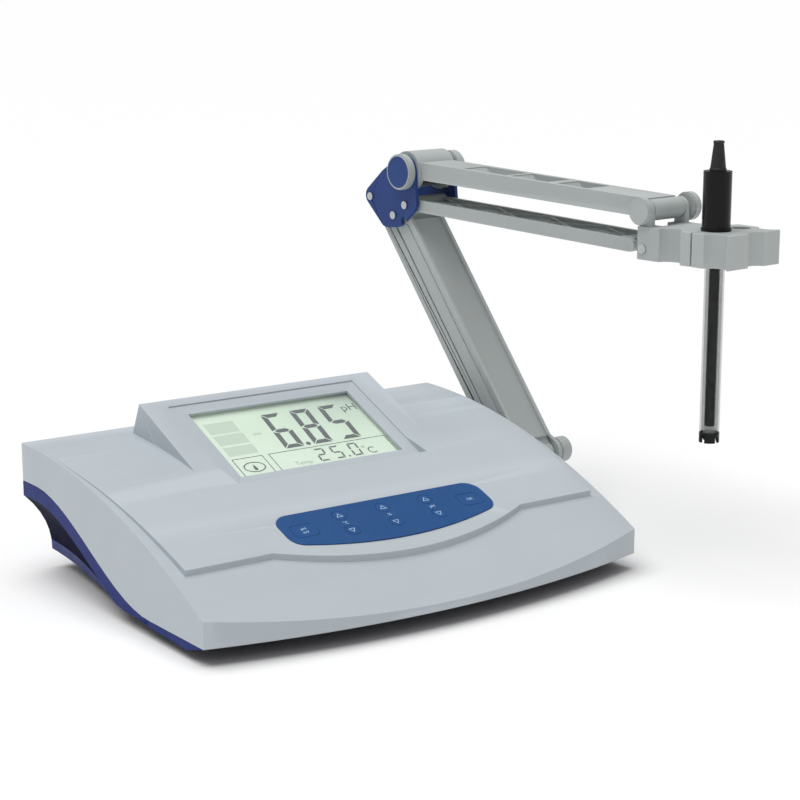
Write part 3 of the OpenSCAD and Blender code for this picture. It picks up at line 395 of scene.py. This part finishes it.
soften("electrode_cap", MAT_BLACK, 0.5, 3)
soften("electrode_boot", MAT_BOOT, 0.4, 3)
soften("tip_guard", MAT_BLACK, 0.25, 2)
soften("power_rocker", MAT_BLACK, 0.4, 3)
soften("switch_housing", MAT_BLACK, 0.4, 2)
soften("reference_terminal", MAT_BLACK, 0.3, 2)
soften("power_inlet", MAT_BLACK, 0.3, 2)
for n in ("electrode_socket", "temperature_socket"):
    soften(n, MAT_STEEL, 0.25, 2)
soften("rubber_feet", MAT_RUBBER, 0.5, 2)
for n in ("case_screws", "board_screws", "bracket_screws"):
    dress(n, MAT_STEEL)
for n in ("main_board", "key_board"):
    dress(n, MAT_BOARD)
dress("key_domes", metal("dome_brass", (0.8, 0.68, 0.38, 1), 0.3))
dress("balance_spring", metal("spring_wire", (0.62, 0.63, 0.65, 1), 0.25, (20, 1, 1)))
dress("backlight", clear("backlight_sheet", (0.9, 0.93, 0.88, 1), alpha=1.0, rough=0.4))
dress("lcd_panel", MAT_LCD)
dress("display_window", MAT_WINDOW)
dress("electrode_tube", MAT_TUBE)
dress("electrode_stem", MAT_BLACK)
dress("glass_bulb", MAT_BULB)
soften("keypad_sheet", MAT_PAD, 0.12, 2, 30)
KEYS = ("key_mode", "key_confirm", "key_temp_up", "key_temp_down",
        "key_slope_up", "key_slope_down", "key_cal_up", "key_cal_down")
for n in KEYS:
    soften(n, MAT_KEY, 0.04, 2, 40)

# ---------------------------------------------------------------- display

TILT = math.radians(23.4)
LCD = plane_frame("lcd_panel", TILT)
# bars of a seven-segment figure: top, upper left, upper right, middle, lower left, lower right, bottom
FIGURES = {"0": "1110111", "2": "1011101", "5": "1101011", "6": "1101111", "8": "1111111"}


def figure(bm, char, x, y, w, h, t, slant, gap, z0, z1):
    """One seven-segment figure, x and y at its lower left, slanted to the right."""
    def p(u, v):
        return (x + u + slant * v, y + v)

    m = h / 2
    g = gap
    bars = [
        [(g, h), (w - g, h), (w - t - g / 2, h - t), (t + g / 2, h - t)],
        [(0, m + g), (0, h - g), (t, h - t - g), (t, m + t / 2 + g / 2)],
        [(w, m + g), (w, h - g), (w - t, h - t - g), (w - t, m + t / 2 + g / 2)],
        [(g + t * 0.3, m), (t + g * 0.5, m + t / 2), (w - t - g * 0.5, m + t / 2), (w - g - t * 0.3, m),
         (w - t - g * 0.5, m - t / 2), (t + g * 0.5, m - t / 2)],
        [(0, g), (0, m - g), (t, m - t / 2 - g / 2), (t, t + g)],
        [(w, g), (w, m - g), (w - t, m - t / 2 - g / 2), (w - t, t + g)],
        [(g, 0), (w - g, 0), (w - t - g / 2, t), (t + g / 2, t)],
    ]
    for on, bar in zip(FIGURES[char], bars):
        if on == "1":
            plate(bm, [p(u, v) for u, v in bar], z0, z1)


def round_points(x, y, rx, ry, n):
    """Points around an ellipse."""
    turns = [2 * math.pi * i / n for i in range(n)]
    return [(x + rx * math.cos(a), y + ry * math.sin(a)) for a in turns]


def disc(bm, x, y, r, z0, z1, n=28):
    plate(bm, round_points(x, y, r, r, n), z0, z1)


def outline(bm, pts, t, z0, z1):
    """A closed line of width t along straight runs, each run its own plate."""
    n = len(pts)
    for i in range(n):
        a, b = Vector(pts[i]), Vector(pts[(i + 1) % n])
        d = (b - a).normalized()
        s = Vector((-d.y, d.x)) * t / 2
        e = d * t / 2
        plate(bm, [tuple(a - e - s), tuple(b + e - s), tuple(b + e + s), tuple(a - e + s)], z0, z1)


def ring(bm, x, y, rx, ry, t, z0, z1, n=48):
    """An oval line of width t, as short plates end to end."""
    outer = round_points(x, y, rx, ry, n)
    inner = round_points(x, y, rx - t, ry - t, n)
    for i in range(n):
        j = (i + 1) % n
        plate(bm, [outer[i], outer[j], inner[j], inner[i]], z0, z1)


def lettering(name, text, size, x, y, z, matrix, mat, body, align="LEFT"):
    """A word in the built-in font, a hundredth of a millimetre or so thick."""
    cu = bpy.data.curves.new(name, "FONT")
    cu.body = text
    cu.size = size
    cu.extrude = 0.012
    cu.align_x = align
    cu.align_y = "BOTTOM_BASELINE"
    tmp = bpy.data.objects.new(name + "_curve", cu)
    bpy.context.scene.collection.objects.link(tmp)
    bpy.context.view_layer.update()
    me = bpy.data.meshes.new_from_object(tmp)
    bpy.data.objects.remove(tmp)
    me.name = name
    me.transform(Matrix.Translation((x, y, z)))
    me.materials.clear()
    me.materials.append(mat)
    ob = bpy.data.objects.new(name, me)
    bpy.context.scene.collection.objects.link(ob)
    return place(ob, matrix, body)


# the display opening, and how far the figures sit to the right of it and above it,
# since the glass lies below the rim that frames it
WINDOW_W, WINDOW_H = 114.0, 65.0
SHIFT_X, SHIFT_Y = 3.9, 4.4
# how high the figures and the pale blocks under them stand on the glass
Z0, Z1 = 0.02, 0.05
BLOCK_Z0, BLOCK_Z1 = 0.01, 0.03


def at_lcd(u, v):
    """Millimetres from the window's top left corner to the display frame."""
    return u - WINDOW_W / 2 + SHIFT_X, WINDOW_H / 2 - v + SHIFT_Y


bm = bmesh.new()
SLANT = 0.06
for char, left in (("6", 40.6), ("8", 61.0), ("5", 81.6)):
    x, y = at_lcd(left, 46.8)
    figure(bm, char, x, y, 13.4, 35.2, 3.5, SLANT, 0.55, Z0, Z1)
x, y = at_lcd(57.4, 45.2)
disc(bm, x, y, 1.6, Z0, Z1)
place(new_object("display_figures", bm, MAT_INK, False), LCD, "case")

bm = bmesh.new()
for char, left in (("2", 55.8), ("5", 66.8), ("0", 79.6)):
    x, y = at_lcd(left, 63.8)
    figure(bm, char, x, y, 6.6, 12.4, 1.25, SLANT, 0.35, Z0, Z1)
x, y = at_lcd(76.4, 63.0)
disc(bm, x, y, 0.75, Z0, Z1)
x, y = at_lcd(89.6, 56.6)
ring(bm, x, y, 0.9, 0.9, 0.35, Z0, Z1, 24)
for u0, u1 in ((2.0, 22.4), (27.0, 109.8)):
    a, b = at_lcd(u0, 49.2), at_lcd(u1, 66.2)
    outline(bm, [a, (b[0], a[1]), b, (a[0], b[1])], 0.55, Z0, Z1)
place(new_object("display_small", bm, MAT_INK, False), LCD, "case")

# a plain drop mark in the left box
bm = bmesh.new()
cx, cy = at_lcd(12.2, 58.6)
ring(bm, cx, cy, 7.2, 4.9, 0.8, Z0, Z1)
tear = []
for i in range(36):
    t = 2 * math.pi * i / 36
    tear.append((cx + 1.7 * math.sin(t) * math.sin(t / 2) ** 1.5, cy - 0.4 + 2.9 * math.cos(t)))
plate(bm, tear, Z0, Z1)
place(new_object("display_mark", bm, MAT_INK, False), LCD, "case")

x, y = at_lcd(98.2, 19.6)
lettering("display_unit", "pH", 9.6, x, y, Z0, LCD, MAT_INK, "case")
x, y = at_lcd(90.6, 63.8)
lettering("display_degree", "C", 8.6, x, y, Z0, LCD, MAT_INK, "case")
MAT_FAINT = plastic("segment_faint", lin(150, 162, 156), rough=0.5, depth=0.05)
x, y = at_lcd(38.4, 63.6)
lettering("display_word", "Temp", 5.0, x, y, Z0, LCD, MAT_FAINT, "case")

bm = bmesh.new()
blocks = [(2.2, 12.5, 22.5, 23.5), (2.2, 25.0, 22.5, 35.2), (2.2, 37.0, 22.5, 46.0), (28.0, 27.6, 34.0, 30.0)]
for left, top, right, bottom in blocks:
    x0, y1 = at_lcd(left, top)
    x1, y0 = at_lcd(right, bottom)
    plate(bm, [(x0, y0), (x1, y0), (x1, y1), (x0, y1)], BLOCK_Z0, BLOCK_Z1)
place(new_object("display_ghosts", bm, MAT_GHOST, False), LCD, "case")

# ---------------------------------------------------------------- keypad legends

SHEET_TILT = math.radians(20.3)
SHEET = plane_frame("keypad_sheet", SHEET_TILT)


def key_frame(node):
    return plane_frame(node, SHEET_TILT)


def key_word(name, text, y, key):
    """A word in the middle of a key, y up from its centre."""
    lettering(name, text, 3.0, 0, y, 0, key_frame(key), MAT_PRINT, key, "CENTER")


for n in KEYS[2:]:
    bm = bmesh.new()
    s = 1 if n.endswith("up") else -1
    outline(bm, [(-1.9, -1.2 * s), (1.9, -1.2 * s), (0, 1.9 * s)], 0.35, 0.0, 0.02)
    place(new_object(n + "_arrow", bm, MAT_PRINT, False), key_frame(n), n)
key_word("key_mode_word", "pH", 0.6, "key_mode")
key_word("key_mode_word_low", "mV", -2.6, "key_mode")
key_word("key_confirm_word", "OK", -1.0, "key_confirm")
inv = SHEET.inverted()
for n, word in (("temp", "°C"), ("slope", "%"), ("cal", "pH")):
    a = inv @ key_frame("key_" + n + "_up").translation
    b = inv @ key_frame("key_" + n + "_down").translation
    mid = (a + b) / 2 / MM
    lettering("word_" + n, word, 3.2, mid.x, mid.y - 1.1, 0.0, SHEET, MAT_PRINT,
              "case", "CENTER")

# ---------------------------------------------------------------- floor, light, camera

# wide enough that its edge stays above the picture in every view
FLOOR_R = 400.0
bm = bmesh.new()
bm.faces.new([bm.verts.new((x, y, 0)) for x, y in round_points(0, 0, FLOOR_R, FLOOR_R, 96)])
MAT_FLOOR, floor_tree, floor_bsdf = nodes_of("floor_pale")
floor_bsdf.inputs["Base Color"].default_value = (0.93, 0.93, 0.93, 1)
floor_bsdf.inputs["Roughness"].default_value = 0.9
floor_bsdf.inputs["Specular IOR Level"].default_value = 0.1
floor = new_object("floor", bm, MAT_FLOOR, False)

world = bpy.data.worlds.new("studio")
bpy.context.scene.world = world
world.use_nodes = True
world.node_tree.nodes["Background"].inputs["Color"].default_value = (1, 1, 1, 1)
world.node_tree.nodes["Background"].inputs["Strength"].default_value = 0.36

sun = bpy.data.lights.new("soft_sun", "SUN")
sun.energy = 2.35
sun.angle = math.radians(60)
sun_ob = bpy.data.objects.new("soft_sun", sun)
bpy.context.scene.collection.objects.link(sun_ob)
SUN_HEADING = Vector((0.18, -0.12, -0.95))
sun_ob.rotation_euler = SUN_HEADING.to_track_quat("-Z", "Y").to_euler()

RIM_AT = Vector((-1.2, -1.4, 1.5))
RIM_AIM = Vector((0, 0, 0.1))
rim = bpy.data.lights.new("rim_light", "AREA")
rim.shape = "RECTANGLE"
rim.size = 0.6
rim.size_y = 0.6
rim.energy = 1
rim_ob = bpy.data.objects.new("rim_light", rim)
bpy.context.scene.collection.objects.link(rim_ob)
rim_ob.location = RIM_AT
rim_ob.rotation_euler = (RIM_AIM - RIM_AT).to_track_quat("-Z", "Y").to_euler()

cam = bpy.data.cameras.new("camera")
cam.sensor_width = 36.0
cam.lens = 90.045
cam.clip_start, cam.clip_end = 0.05, 1000
cam_ob = bpy.data.objects.new("camera", cam)
bpy.context.scene.collection.objects.link(cam_ob)
cam_ob.location = (-0.63025, -0.9473, 0.35175)
yaw, pitch = math.radians(-35.706), math.radians(12.332)
look = Vector((-math.sin(yaw) * math.cos(pitch), math.cos(yaw) * math.cos(pitch), -math.sin(pitch)))
cam_ob.rotation_euler = look.to_track_quat("-Z", "Y").to_euler()
bpy.context.scene.camera = cam_ob
bpy.context.scene.view_settings.view_transform = "Standard"
